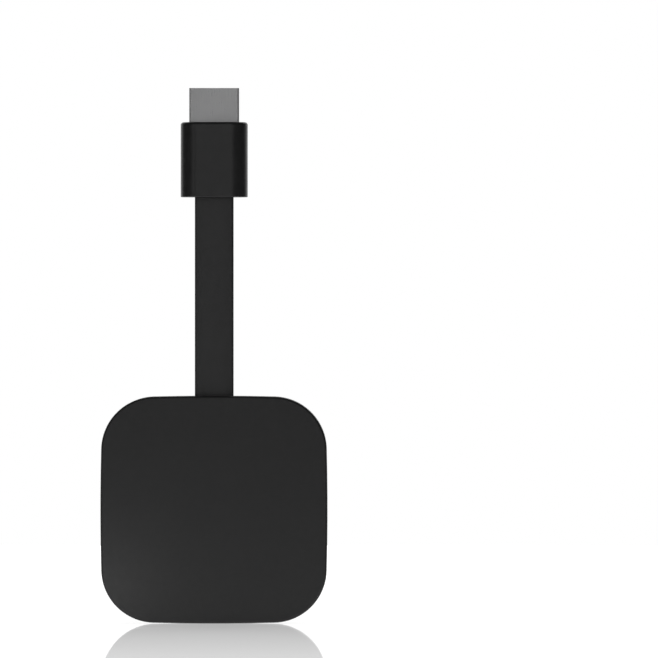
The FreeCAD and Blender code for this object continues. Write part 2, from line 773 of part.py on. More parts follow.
def make_rear_cover():
    """The shallow rear shell: lip, strap tongue, presser, stiffening ribs, heat stakes and snap hooks."""
    body = new_body("rear_cover", "puck_mid")
    block = pad(body, ACROSS_DEPTH, "cover_rim", "back_face", squircle("0"))
    fillet(body, block, edges_on(block, "y", "back_face"), "back_round")
    pocket(body, ACROSS_DEPTH, "cover_rim", "back_floor", squircle("wall"))
    lip = (squircle("lip_wall + fit"), squircle("wall"))
    pad(body, ACROSS_DEPTH, "seam - lip_depth + fit", "cover_rim", *lip)
    tongue = arched("strap_width", "inner_top")
    pad(body, ACROSS_DEPTH, "strap_depth / 2 + fit", "cover_rim", tongue)

    presser = rectangle("-anchor_width / 2", "anchor_width / 2", "rib_low", "inner_top + fit")
    pad(body, ACROSS_DEPTH, "anchor_depth / 2 + fit", "back_floor", presser)
    lower_rib = rectangle(
        "-anchor_width / 2", "anchor_width / 2", "rib_low", "rib_low + anchor_rib"
    )
    pad(body, ACROSS_DEPTH, "bundle_depth / 2", "back_floor", lower_rib)

    ribs_front = "back_floor - cover_rib_stand"
    reach_x = "(puck_width / 2 - wall)"
    upright_ribs = [
        rectangle(
            f"{sign} * cover_rib_x - cover_rib / 2",
            f"{sign} * cover_rib_x + cover_rib / 2",
            "-inner_top",
            "inner_top",
        )
        for sign in (1, -1)
    ]
    pad(body, ACROSS_DEPTH, ribs_front, "back_floor", *upright_ribs)
    level_ribs = [
        rectangle(
            f"-{reach_x} + side_fall",
            f"{reach_x} - side_fall",
            f"{sign} * cover_rib_z - cover_rib / 2",
            f"{sign} * cover_rib_z + cover_rib / 2",
        )
        for sign in (1, -1)
    ]
    pad(body, ACROSS_DEPTH, ribs_front, "back_floor", *level_ribs)

    places = [(f"{a} * stake_x", f"{b} * stake_z") for a in (1, -1) for b in (1, -1)]
    feet = [circle(x, z, "stake_foot") for x, z in places]
    pad(body, ACROSS_DEPTH, "rear_spreader_back", "back_floor", *feet)
    pins = [circle(x, z, "stake_radius") for x, z in places]
    pad(body, ACROSS_DEPTH, "rear_spreader_front - stake_proud", "rear_spreader_back", *pins)

    roots = snap_boxes("wall - fit", "wall + fit + hook_sheet")
    pad(body, ACROSS_DEPTH, "cover_rim", "back_floor", *roots)
    tabs = snap_boxes("wall + fit", "wall + fit + hook_sheet")
    pad(body, ACROSS_DEPTH, "snap_low + fit", "cover_rim", *tabs)
    bumps = snap_boxes("wall - hook_bite + fit", "wall + fit")
    pad(body, ACROSS_DEPTH, "snap_low + fit", "snap_high - fit", *bumps)
    return body


# The board, and what is fixed to it


def make_main_board():
    body = new_body("main_board", "puck_mid")
    pad(body, ACROSS_DEPTH, "board_front", "board_back", squircle("board_inset"))
    above = rectangle("-puck_width", "puck_width", "board_top", "puck_height")
    pocket(body, ACROSS_DEPTH, "board_front", "board_back", above)
    notch = "inlet_width / 2 + fit"
    cuts = [rectangle(f"-({notch})", notch, "-puck_height", "inlet_back + fit")]
    pocket(body, ACROSS_DEPTH, "board_front", "board_back", *cuts)
    holes = [circle(x, z, "screw_shank + fit") for x, z in boss_places()]
    pocket(body, ACROSS_DEPTH, "board_front", "board_back", *holes)
    return body


def make_board_screws():
    """Four pan-head screws through the board into the bosses."""
    body = new_body("board_screws", "puck_mid")
    shanks = [circle(x, z, "screw_shank") for x, z in boss_places()]
    pad(body, ACROSS_DEPTH, "board_front - screw_bite", "board_back", *shanks)
    heads = [circle(x, z, "screw_head") for x, z in boss_places()]
    top = "board_back + screw_head_depth"
    last = pad(body, ACROSS_DEPTH, "board_back", top, *heads)
    fillet(body, last, edges_on(last, "y", top), "screw_head_depth / 2")
    return body


def make_chip(name, x, z, width, height, depth, rear=False):
    """A square package with a slightly smaller moulded cap, on either face of the board."""
    body = new_body(name, "puck_mid")
    foot, step = "board_sheet / 2", f"({depth}) / 3"
    levels = [foot, f"{foot} + {step}", f"{foot} + ({depth})"]
    for k, margin in enumerate(("0", "2 * chip_margin")):
        outline = centred(f"({width}) - {margin}", f"({height}) - {margin}", x=x, y=z)
        low, high = levels[k], levels[k + 1]
        if rear:
            pad(body, ACROSS_DEPTH, low, high, outline)
        else:
            pad(body, ACROSS_DEPTH, f"-({high})", f"-({low})", outline)
    return body


def make_memory_chips():
    """Two memory packages side by side on the rear face."""
    body = new_body("memory_chips", "puck_mid")
    pair = [
        centred("memory_width", "memory_height", "chip_margin", f"{s} * memory_x", "memory_z")
        for s in (1, -1)
    ]
    pad(body, ACROSS_DEPTH, "board_back", "board_back + memory_depth", *pair)
    return body


def make_shield_frame():
    """A bent sheet fence with an inner flange, soldered round the processor."""
    body = new_body("shield_frame", "puck_mid")
    sheet_in = "shield_width - 2 * shield_sheet", "shield_height - 2 * shield_sheet"
    flange_in = "shield_width - 2 * shield_flange", "shield_height - 2 * shield_flange"
    bend = "shield_corner + shield_sheet"
    outer = centred("shield_width", "shield_height", bend, y="shield_z")
    fence = centred(*sheet_in, "shield_corner", y="shield_z")
    flange = centred(*flange_in, "shield_corner", y="shield_z")
    top = "board_front - shield_stand"
    pad(body, ACROSS_DEPTH, top, "board_front", outer, fence)
    pad(body, ACROSS_DEPTH, top, f"{top} + shield_sheet", outer, flange)
    return body


def make_shield_lid():
    """A pressed lid that clips over the fence."""
    body = new_body("shield_lid", "puck_mid")
    gap = "fit / 2"
    inner = (f"shield_width + 2 * {gap}", f"shield_height + 2 * {gap}")
    outer = tuple(f"{side} + 2 * shield_sheet" for side in inner)
    top = "board_front - shield_stand"
    bend = f"shield_corner + shield_sheet + {gap}"
    rim = centred(*outer, f"{bend} + shield_sheet", y="shield_z")
    hole = centred(*inner, bend, y="shield_z")
    pad(body, ACROSS_DEPTH, "shield_face", top, rim)
    pad(body, ACROSS_DEPTH, top, f"{top} + shield_skirt", rim, hole)
    return body


def make_pad(name, low, high, width, height, x, z):
    """A soft block between two faces that carries heat."""
    body = new_body(name, "puck_mid")
    pad(body, ACROSS_DEPTH, low, high, centred(width, height, "chip_margin", x, z))
    return body


def make_front_heat_spreader():
    """A plate on the bosses' shoulders, with a raised pedestal over the shield."""
    body = new_body("front_heat_spreader", "puck_mid")
    plate = centred(
        "front_spreader_width",
        "front_spreader_height",
        "front_spreader_corner",
        y="front_spreader_z",
    )
    pad(body, ACROSS_DEPTH, "spreader_front", "spreader_back", plate)
    pedestal = centred(
        "shield_width - 2 * pad_margin",
        "shield_height - 2 * pad_margin",
        "shield_corner",
        y="shield_z",
    )
    pad(body, ACROSS_DEPTH, "spreader_back", "pedestal_back", pedestal)
    holes = [circle(x, z, "boss_neck + boss_slack") for x, z in boss_places()]
    pocket(body, ACROSS_DEPTH, "spreader_front", "spreader_back", *holes)
    return body


def make_rear_heat_spreader():
    """A plate held on the rear cover's four heat stakes."""
    body = new_body("rear_heat_spreader", "puck_mid")
    plate = centred("rear_spreader_width", "rear_spreader_height", "rear_spreader_corner")
    pad(body, ACROSS_DEPTH, "rear_spreader_front", "rear_spreader_back", plate)
    holes = [
        circle(f"{a} * stake_x", f"{b} * stake_z", "stake_radius + stake_slack")
        for a in (1, -1)
        for b in (1, -1)
    ]
    pocket(body, ACROSS_DEPTH, "rear_spreader_front", "rear_spreader_back", *holes)
    return body


def make_antenna(name, sign):
    """A bent sheet antenna standing at one edge of the board, folded inward at its top."""
    body = new_body(name, "puck_mid")
    edges = [f"{sign} * antenna_x", f"{sign} * (antenna_x - antenna_sheet)"][::-sign]
    folds = [f"{sign} * antenna_x", f"{sign} * (antenna_x - antenna_fold)"][::-sign]
    low, high = "antenna_z", "antenna_z + antenna_length"
    top = "board_front - antenna_stand"
    pad(body, ACROSS_DEPTH, top, "board_front", rectangle(*edges, low, high))
    pad(body, ACROSS_DEPTH, top, f"{top} + antenna_sheet", rectangle(*folds, low, high))
    gap = rectangle(
        f"{sign} * antenna_x - 2 * antenna_sheet",
        f"{sign} * antenna_x + 2 * antenna_sheet",
        f"{low} + antenna_length / 4",
        f"{high} - antenna_length / 8",
    )
    pocket(body, ACROSS_DEPTH, "board_front - antenna_stand / 2", "board_front", gap)
    return body


def make_coils():
    body = new_body("power_coils", "puck_mid")
    blocks = [
        centred("coil_side", "coil_side", "chip_margin", f"power_x + {k - 1} * coil_pitch", "coil_z")
        for k in range(COILS)
    ]
    pad(body, ACROSS_DEPTH, "board_front - coil_depth", "board_front", *blocks)
    return body


def make_capacitors():
    body = new_body("capacitors", "puck_mid")
    middle = (CAPACITORS - 1) / 2
    blocks = [
        centred(
            "capacitor_width",
            "capacitor_height",
            x=f"{k - middle} * capacitor_pitch",
            y="capacitor_z",
        )
        for k in range(CAPACITORS)
    ]
    pad(body, ACROSS_DEPTH, "board_front - capacitor_width", "board_front", *blocks)
    return body


# The foot: inlet, indicator and reset button


def make_inlet_shell():
    """The power inlet's deep-drawn shell, set in the board's notch, with an ear on each side."""
    body = new_body("inlet_shell", "puck_mid")
    outer = slot("inlet_width", "inlet_depth")
    inner = slot("inlet_width - 2 * inlet_sheet", "inlet_depth - 2 * inlet_sheet")
    pad(body, ACROSS_HEIGHT, "inlet_mouth", "inlet_back", outer, inner)
    near, far = "inlet_width / 2 - 0.8 * inlet_sheet", "inlet_width / 2 + inlet_ear"
    level = ("inlet_back - 2 * inlet_ear", "inlet_back - inlet_ear")
    ears = [rectangle(near, far, *level), rectangle(f"-({far})", f"-({near})", *level)]
    pad(body, ACROSS_DEPTH, "board_front - inlet_sheet", "board_front", *ears)
    return body


def make_inlet_tongue():
    body = new_body("inlet_tongue", "puck_mid")
    block = slot("inlet_width - 2 * inlet_sheet", "inlet_depth - 2 * inlet_sheet")
    block_low = "inlet_back - inlet_block"
    pad(body, ACROSS_HEIGHT, block_low, "inlet_back", block)
    tongue = centred("inlet_tongue_width", "inlet_tongue_sheet")
    pad(body, ACROSS_HEIGHT, "inlet_mouth + inlet_tongue_recess", block_low, tongue)
    return body


def contact_row(count, pitch, width, low, high):
    """Rectangles across a row of contacts."""
    middle = (count - 1) / 2
    places = [f"{k - middle} * {pitch}" for k in range(count)]
    return [rectangle(f"{x} - {width} / 2", f"{x} + {width} / 2", low, high) for x in places]


def make_inlet_contacts():
    body = new_body("inlet_contacts", "puck_mid")
    near, far = "inlet_tongue_sheet / 2", "inlet_tongue_sheet / 2 + inlet_contact_sheet"
    row = (INLET_CONTACTS, "inlet_pitch", "inlet_contact_width")
    both = contact_row(*row, near, far) + contact_row(*row, f"-({far})", f"-({near})")
    low = "inlet_mouth + inlet_tongue_recess + inlet_pitch"
    pad(body, ACROSS_HEIGHT, low, "inlet_back - inlet_block", *both)
    return body


def make_light_pipe():
    """A clear rod from the indicator to the puck's foot, with a flange inside the wall."""
    body = new_body("light_pipe", "puck_mid")
    rod = circle("pipe_x", "pipe_y", "pipe_radius")
    pad(body, ACROSS_HEIGHT, "pipe_face", "pipe_back", rod)
    flange = circle("pipe_x", "pipe_y", "pipe_flange")
    top = "pipe_ledge + pipe_flange_depth"
    pad(body, ACROSS_HEIGHT, "pipe_ledge", top, flange)
    return body


def make_status_led():
    body = new_body("status_led", "puck_mid")
    left, right = "pipe_x - led_width / 2", "pipe_x + led_width / 2"
    block = rectangle(left, right, "led_front", "led_front + led_side")
    pad(body, ACROSS_DEPTH, "board_front - led_side", "board_front", block)
    return body


def make_reset_cap():
    """The button: a round cap flush with the foot, kept in by a flange behind the wall."""
    body = new_body("reset_cap", "puck_mid")
    cap = circle("reset_x", "reset_y", "reset_radius")
    last = pad(body, ACROSS_HEIGHT, "reset_face", "reset_ledge", cap)
    last = fillet(body, last, edges_on(last, "z", "reset_face"), "reset_round")
    flange = circle("reset_x", "reset_y", "reset_flange")
    pad(body, ACROSS_HEIGHT, "reset_ledge", "reset_back", flange)
    return body


def make_switch_body():
    """A side-press switch on the board's front face, with the bore that its plunger slides in."""
    body = new_body("switch_body", "puck_mid")
    left, right = "reset_x - switch_width / 2", "reset_x + switch_width / 2"
    block = rectangle(left, right, "switch_front", "switch_back")
    pad(body, ACROSS_DEPTH, "board_front - switch_depth", "board_front", block)
    bore = circle("reset_x", "reset_y", "plunger_radius + plunger_slack")
    pocket(body, ACROSS_HEIGHT, "switch_front", "switch_front + switch_bore_depth", bore)
    return body


def make_switch_plunger():
    body = new_body("switch_plunger", "puck_mid")
    rod = circle("reset_x", "reset_y", "plunger_radius")
    top = "switch_front + switch_bore_depth - reset_travel - fit"
    pad(body, ACROSS_HEIGHT, "reset_back", top, rod)
    return body


# The plug


def make_plug_housing():
    """The moulded grip: a sleeve closed at both ends round the shell's root and the strap's anchor."""
    body = new_body("plug_housing")
    outer = centred("plug_width", "plug_depth", "plug_corner")
    last = pad(body, ACROSS_HEIGHT, "plug_base", "0", outer)
    last = fillet(body, last, edges_on(last, "z", "0"), "plug_rim")
    fillet(body, last, edges_on(last, "z", "plug_base"), "plug_tail_round")
    cavity = centred(
        "plug_width - 2 * plug_wall", "plug_depth - 2 * plug_wall", "plug_corner - plug_wall"
    )
    pocket(body, ACROSS_HEIGHT, "plug_base + plug_wall", "-plug_wall", cavity)
    pocket(body, ACROSS_HEIGHT, "-2 * plug_wall", "plug_wall", plug_section("-fit / 2"))
    tail = centred("strap_width + 2 * fit", "strap_depth + 2 * fit", "strap_edge + fit")
    pocket(body, ACROSS_HEIGHT, "plug_base - fit", "plug_base + 2 * plug_wall", tail)
    return body


def make_plug_inner_mould():
    """The inner moulding that grips the strap's anchor, the wire board and the shell's root."""
    body = new_body("plug_inner_mould")
    margin = "plug_wall + fit / 2"
    block = centred(
        f"plug_width - 2 * ({margin})",
        f"plug_depth - 2 * ({margin})",
        "plug_corner - plug_wall - fit / 2",
    )
    low, high = "plug_base + plug_wall", "-plug_wall - fit"
    pad(body, ACROSS_HEIGHT, low, high, block)
    anchor = centred(
        "plug_anchor_width + 2 * fit", "anchor_depth + 2 * fit", "anchor_edge + fit"
    )
    pocket(body, ACROSS_HEIGHT, low, "jacket_top + fit", anchor)
    passage = centred("bundle_width", "bundle_depth")
    pocket(body, ACROSS_HEIGHT, "jacket_top", "wires_top", passage)
    board_room = centred("plug_board_width + 2 * fit", "2 * core_y + 4 * core_radius")
    pocket(body, ACROSS_HEIGHT, "wires_top - fit", "-shell_root", board_room)
    root_room = centred("shell_width + 2 * fit", "shell_depth + 2 * fit", "shell_round + fit")
    pocket(body, ACROSS_HEIGHT, "-shell_root - fit", high, root_room)
    return body


def make_plug_shell():
    """The folded sheet shell, with its seam and two latch windows in the rear face."""
    body = new_body("plug_shell")
    outlines = plug_section("0"), plug_section("shell_sheet")
    last = pad(body, ACROSS_HEIGHT, "-shell_root", "shell_reach", *outlines)
    last = fillet(body, last, upright_edges(last, False), "shell_round")
    fillet(body, last, upright_edges(last, True), "shell_round - shell_sheet")
    windows = [
        centred(
            "latch_width",
            "latch_length",
            "latch_width / 8",
            f"{sign} * latch_offset",
            "latch_start + latch_length / 2",
        )
        for sign in (1, -1)
    ]
    pocket(body, ACROSS_DEPTH, "0", "shell_depth", *windows)
    slit = rectangle("-shell_slit / 2", "shell_slit / 2", "-2 * shell_root", "2 * shell_reach")
    pocket(body, ACROSS_DEPTH, "0", "shell_depth", slit)
    return body


def make_plug_insulator():
    body = new_body("plug_insulator")
    block = plug_section("shell_sheet + fit / 2")
    last = pad(body, ACROSS_HEIGHT, "-insulator_root", "insulator_top", block)
    fillet(body, last, upright_edges(last, True), "shell_round - shell_sheet")
    tongue_slot = centred("tongue_slot_width", "tongue_slot_depth")
    pocket(body, ACROSS_HEIGHT, "-insulator_root", "insulator_top", tongue_slot)
    return body


def make_plug_contacts():
    """Two rows of contact strips on the slot's faces, with tails that straddle the wire board."""
    body = new_body("plug_contacts")
    far, near = "tongue_slot_depth / 2", "tongue_slot_depth / 2 - contact_sheet"
    size = ("contact_pitch", "contact_width")
    rows = contact_row(FRONT_CONTACTS, *size, f"-({far})", f"-({near})")
    rows += contact_row(REAR_CONTACTS, *size, near, far)
    low, high = "-insulator_root - contact_tail", "insulator_top - contact_recess"
    pad(body, ACROSS_HEIGHT, low, high, *rows)
    return body


def make_plug_wire_board():
    body = new_body("plug_wire_board")
    board = centred("plug_board_width", "board_sheet")
    pad(body, ACROSS_HEIGHT, "plug_board_low", "plug_board_top", board)
    return body


# The strap


def pair_places():
    return [f"{sign} * {place}" for place in ("pair_inner", "pair_outer") for sign in (1, -1)]


def wire_places():
    corners = [(f"{a} * wire_outer", f"{b} * wire_stack") for a in (1, -1) for b in (1, -1)]
    middle = [("wire_inner", "-wire_stack"), ("-wire_inner", "-wire_stack")]
    return corners + middle + [("0", "wire_stack")]


def make_strap_jacket():
    """The flat moulded jacket in one piece, with a wider anchor at each end and a bore for each conductor."""
    body = new_body("strap_jacket")
    run = centred("strap_width", "strap_depth", "strap_edge")
    pad(body, ACROSS_HEIGHT, "jacket_low", "jacket_top", run)
    upper = centred("plug_anchor_width", "anchor_depth", "anchor_edge")
    pad(body, ACROSS_HEIGHT, "plug_anchor_low", "jacket_top", upper)
    lower = centred("anchor_width", "anchor_depth", "anchor_edge")
    pad(body, ACROSS_HEIGHT, "jacket_low", "jacket_low + anchor_length", lower)
    bores = [circle(x, "0", "pair_radius + bore_fit") for x in pair_places()]
    bores += [circle(x, y, "wire_radius + bore_fit") for x, y in wire_places()]
    pocket(body, ACROSS_HEIGHT, "jacket_low", "jacket_top", *bores)
    return body


def make_conductors(name, places, radius, cores):
    """Round conductors through the strap, with bare cores at both ends that straddle the boards."""
    body = new_body(name)
    pad(body, ACROSS_HEIGHT, "wires_low", "wires_top", *[circle(x, y, radius) for x, y in places])
    bare = [circle(x, y, "core_radius") for x, y in cores]
    pad(body, ACROSS_HEIGHT, "wires_top", "wires_top + core_length", *bare)
    pad(body, ACROSS_HEIGHT, "wires_low - core_length", "wires_low", *bare)
    return body


def make_signal_pairs():
    places = [(x, "0") for x in pair_places()]
    cores = [(x, f"{side} * core_y") for x in pair_places() for side in (1, -1)]
    return make_conductors("signal_pairs", places, "pair_radius", cores)


def make_single_wires():
    places = wire_places()
    cores = [(x, "-core_y" if y.startswith("-") else "core_y") for x, y in places]
    return make_conductors("single_wires", places, "wire_radius", cores)


def build():
    """Makes every piece and returns them in the order in which they would be laid out."""
    gap_front = "board_front - processor_depth"
    return [
        make_plug_housing(),
        make_plug_inner_mould(),
        make_plug_shell(),
        make_plug_insulator(),
        make_plug_contacts(),
        make_plug_wire_board(),
        make_strap_jacket(),
        make_signal_pairs(),
        make_single_wires(),
        make_front_cover(),
        make_rear_cover(),
        make_main_board(),
        make_board_screws(),
        make_chip(
            "processor",
            "processor_x",
            "processor_z",
            "processor_side",
            "processor_side",
            "processor_depth",
        ),
        make_pad(
            "processor_pad",
            "board_front - shield_stand",
            gap_front,
            "processor_side - 2 * chip_margin",
            "processor_side - 2 * chip_margin",
            "processor_x",
            "processor_z",
        ),
        make_shield_frame(),
        make_shield_lid(),
        make_pad(
            "front_thermal_pad",
            "pedestal_back",
            "shield_face",
            "shield_width - 2 * pad_margin",
            "shield_height - 2 * pad_margin",
            "0",
            "shield_z",
        ),
        make_front_heat_spreader(),
        make_memory_chips(),
        make_chip(
            "storage_chip",
            "0",
            "storage_z",
            "storage_side",
            "storage_side",
            "memory_depth",
            rear=True,
        ),
        make_pad(
            "rear_thermal_pad",
            "board_back + memory_depth",
            "rear_spreader_front",
            "2 * memory_x + memory_width",
            "memory_height",
            "0",
            "memory_z",
        ),
        make_rear_heat_spreader(),
        make_chip(
            "wireless_module",
            "radio_x",
            "radio_z",
            "radio_width",
            "radio_height",
            "radio_depth",
        ),
        make_antenna("antenna_left", -1),
        make_antenna("antenna_right", 1),
        make_chip(
            "power_chip",
            "power_x",
            "power_z",
            "power_side",
            "power_side",
            "power_depth",
        ),
        make_coils(),
        make_capacitors(),
        make_chip(
            "crystal",
            "crystal_x",
            "storage_z",
            "crystal_width",
            "crystal_height",
            "crystal_depth",
            rear=True,
        ),
        make_inlet_shell(),
        make_inlet_tongue(),
        make_inlet_contacts(),
        make_light_pipe(),
        make_status_led(),
        make_switch_body(),
        make_switch_plunger(),
        make_reset_cap(),
    ]


def check_and_write(pieces):
    """Stops if any object failed or any shape is bad, then writes one file for each piece."""
    document.removeObject(trial.Name)
    document.recompute()
    for item in document.Objects:
        if "Invalid" in item.State or "Error" in item.State:
            raise ValueError(f"{item.Label} failed: {item.State}")
    for piece in pieces:
        if piece.Shape.isNull() or not piece.Shape.isValid():
            raise ValueError(f"{piece.Label} has a bad shape")
    os.makedirs("parts", exist_ok=True)
    for piece in pieces:
        piece.Shape.exportStep(f"parts/{piece.Label}.step")
        solids = len(piece.Shape.Solids)
        print(f"{piece.Label}: {solids} solid(s), {piece.Shape.Volume:.1f} mm3")


check_and_write(build())
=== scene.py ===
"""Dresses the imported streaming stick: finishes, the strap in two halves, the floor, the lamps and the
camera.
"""

import math

import bmesh
import bpy
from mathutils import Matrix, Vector


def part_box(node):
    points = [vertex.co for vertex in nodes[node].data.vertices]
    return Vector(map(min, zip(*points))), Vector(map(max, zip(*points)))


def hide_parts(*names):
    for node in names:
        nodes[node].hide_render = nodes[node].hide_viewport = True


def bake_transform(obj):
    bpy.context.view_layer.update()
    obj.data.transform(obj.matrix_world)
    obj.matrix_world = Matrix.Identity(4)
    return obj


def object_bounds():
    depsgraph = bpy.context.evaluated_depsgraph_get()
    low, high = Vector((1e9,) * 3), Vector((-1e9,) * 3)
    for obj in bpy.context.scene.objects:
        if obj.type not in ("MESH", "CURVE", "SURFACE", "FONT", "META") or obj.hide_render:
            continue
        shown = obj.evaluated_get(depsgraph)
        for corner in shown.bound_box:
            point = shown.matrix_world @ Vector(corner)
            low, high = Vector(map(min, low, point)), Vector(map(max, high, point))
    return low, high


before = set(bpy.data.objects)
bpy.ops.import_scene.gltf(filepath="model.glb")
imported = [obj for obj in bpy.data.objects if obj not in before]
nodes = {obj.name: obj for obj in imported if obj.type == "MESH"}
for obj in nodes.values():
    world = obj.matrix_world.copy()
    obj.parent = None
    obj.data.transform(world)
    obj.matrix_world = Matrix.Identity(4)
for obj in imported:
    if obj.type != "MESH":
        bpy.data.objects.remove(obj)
cad_box = [list(corner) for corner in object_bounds()]

MM = 0.001


# Shader nodes

MIX_COLOUR_INPUTS = (6, 7)
MIX_COLOUR_OUTPUT = 2


def feed(tree, socket, value):
    """Sets a socket to a number or a colour, or links another node's output to it."""
    if isinstance(value, bpy.types.NodeSocket):
        tree.links.new(value, socket)
    else:
        socket.default_value = value


def add(tree, kind, settings=None, **inputs):
    """A new node. Each input is a number, a colour or another node's output."""
    node = tree.nodes.new(kind)
    for key, value in (settings or {}).items():
        setattr(node, key, value)
    for key, value in inputs.items():
        feed(tree, node.inputs[key.replace("_", " ")], value)
    return node


def math_node(tree, operation, *values):
    """Arithmetic on numbers and other nodes' outputs."""
    node = add(tree, "ShaderNodeMath", {"operation": operation})
    for socket, value in zip(node.inputs, values):
        feed(tree, socket, value)
    return node.outputs[0]


def map_range(tree, value, span, low, high, interpolation="LINEAR"):
    """Goes from low to high as the value goes through the span."""
    start, end = span
    return add(tree, "ShaderNodeMapRange", {"interpolation_type": interpolation}, Value=value,
               From_Min=start, From_Max=end, To_Min=low, To_Max=high).outputs[0]


def fade(tree, value, span, low, high):
    """Goes from low to high as the value goes through the span, with a soft start and end."""
    return map_range(tree, value, span, low, high, "SMOOTHSTEP")


def mixed_shader(tree, share, first, second):
    """The first shader, with this share of the second."""
    node = add(tree, "ShaderNodeMixShader")
    for socket, value in zip(node.inputs, (share, first, second)):
        tree.links.new(value, socket)
    return node.outputs[0]


def grey(value):
    return (value, value, value, 1.0)


def tint(colour, factor=1.0):
    """The colour, this many times as bright."""
    return (*[min(1.0, channel * factor) for channel in colour], 1.0)


# Finishes

# The middle range of a noise, where nearly all of it lies
NOISE_SPAN = (0.3, 0.7)

# Cosine of the angle by which rounding turns the surface: fully an edge at the first, none at the second
EDGE_SPAN = (0.9, 0.995)
EDGE_SAMPLES = 4

# Mouldings: slow clouds of shade, faint waves, patches of gloss, and the width of edge that handling polishes
# and that is darkened as painted shade
PLASTIC_IOR = 1.49
CLOUD_SIZE = 9 * MM
RIPPLE_SIZE = 6 * MM
RIPPLE_DEPTH = 0.02 * MM
GLOSS_SIZE = 1.4 * MM
POLISH_AND_SHADE_EDGE = 0.3 * MM

# Drawn sheet and wire: the lines along it, and the sheet's scuffed patches
LINE_SIZE = 0.12 * MM
FINE_RELIEF = 0.004 * MM
SCUFF_SIZE = 3 * MM
SCUFF_SPAN = (0.45, 0.75)
SLEEVE_SIZE = 1.6 * MM
SLEEVE_SPAN = (0.4, 0.6)

# The board: its traces, its ground fill and the weave under the coating
TRACE_PITCH = 1.1 * MM
TRACE_SPAN = (0.42, 0.46)
TRACE_HEIGHT = 0.03 * MM
GROUND_SIZE = 7 * MM
GROUND_SPAN = (0.49, 0.5)
WEAVE_SIZE = 0.35 * MM

# Patches of gloss on cast bodies, and of haze in clear ones
DULL_SIZE = 2 * MM
HAZE_SIZE = 0.5 * MM


class Finish:
    """One procedural material, laid out in the object's own metres."""

    def __init__(self, name):
        self.material = bpy.data.materials.new(name)
        self.material.use_nodes = True
        self.tree = self.material.node_tree
        self.shader = self.tree.nodes["Principled BSDF"]
        self.place = add(self.tree, "ShaderNodeTexCoord").outputs["Object"]

    def plain(self, **values):
        """Sockets that are the same all over the surface."""
        for key, value in values.items():
            self.shader.inputs[key.replace("_", " ")].default_value = value
        return self

    def wire(self, **sockets):
        """Sockets that vary over the surface. Returns the finished material."""
        for key, value in sockets.items():
            self.tree.links.new(value, self.shader.inputs[key.replace("_", " ")])
        return self.material

    def noise(self, size, detail, stretch=None):
        """Noise whose blots are about this many metres wide, from 0 to 1."""
        where = self.place
        if stretch:
            where = add(self.tree, "ShaderNodeMapping", Vector=self.place, Scale=stretch).outputs[0]
        return add(self.tree, "ShaderNodeTexNoise", Vector=where, Scale=1.0 / size, Detail=detail).outputs[0]

    def spread(self, value, low, high, span=NOISE_SPAN):
        """Goes from low to high as the value goes through the span."""
        return map_range(self.tree, value, span, low, high)

    def combined(self, first, second, operation="ADD"):
        return math_node(self.tree, operation, first, second)

    def mixed(self, factor, first, second):
        """A colour between two others, each a colour or another node's output."""
        node = add(self.tree, "ShaderNodeMix", {"data_type": "RGBA"}, Factor=factor)
        for index, value in zip(MIX_COLOUR_INPUTS, (first, second)):
            feed(self.tree, node.inputs[index], value)
        return node.outputs[MIX_COLOUR_OUTPUT]

    def shaded(self, value, colour, low, high, span=NOISE_SPAN):
        """The colour, from low to high times as bright as the value goes through the span."""
        return self.mixed(self.spread(value, 0.0, 1.0, span), tint(colour, low), tint(colour, high))

    def relief(self, height, depth, strength, below=None):
        """Bump of this depth in metres, on top of another one."""
        node = add(self.tree, "ShaderNodeBump", Height=height, Distance=depth, Strength=strength)
        if below:
            self.tree.links.new(below, node.inputs["Normal"])
        return node.outputs[0]

    def edges(self, radius):
        """1 along the sharp edges of the piece and 0 on its flats."""
        rounded = add(self.tree, "ShaderNodeBevel", {"samples": EDGE_SAMPLES}, Radius=radius).outputs[0]
        normal = add(self.tree, "ShaderNodeNewGeometry").outputs["Normal"]
        turn = add(self.tree, "ShaderNodeVectorMath", {"operation": "DOT_PRODUCT"})
        self.tree.links.new(rounded, turn.inputs[0])
        self.tree.links.new(normal, turn.inputs[1])
        return self.spread(turn.outputs["Value"], 1.0, 0.0, EDGE_SPAN)


def moulded(name, colour, rough, grain=0.2 * MM, depth=0.012 * MM, mottle=0.06,
            edge_polish_and_shade=0.25, flow=None, shine=0.3):
    """Spark-textured moulding: fine grain, slow mottling, and edges that handling has polished and that are
    darkened as painted shade.
    """
    finish = Finish(name).plain(IOR=PLASTIC_IOR, Specular_IOR_Level=shine)
    # Edge mask: along edges it lowers the roughness as polish and darkens the colour as painted shade.
    polish_and_edge_shade = finish.combined(finish.edges(POLISH_AND_SHADE_EDGE), edge_polish_and_shade, "MULTIPLY")
    clouds = finish.noise(CLOUD_SIZE, 3.0, flow)
    base = finish.shaded(clouds, colour, 1 - mottle, 1 + mottle)
    # Painted shade: the colour goes to half its brightness along the edges, as dark edge lines.
    base = finish.mixed(polish_and_edge_shade, base, tint(colour, 0.5))
    gloss = finish.spread(finish.noise(GLOSS_SIZE, 3.0, flow), rough - 0.04, rough + 0.04)
    gloss = finish.combined(gloss, polish_and_edge_shade, "SUBTRACT")
    pits = finish.noise(grain, 2.0)
    ripple = finish.noise(RIPPLE_SIZE, 1.0, flow)
    normal = finish.relief(pits, depth, 0.6, finish.relief(ripple, RIPPLE_DEPTH, 0.3))
    return finish.wire(Base_Color=base, Roughness=gloss, Normal=normal)


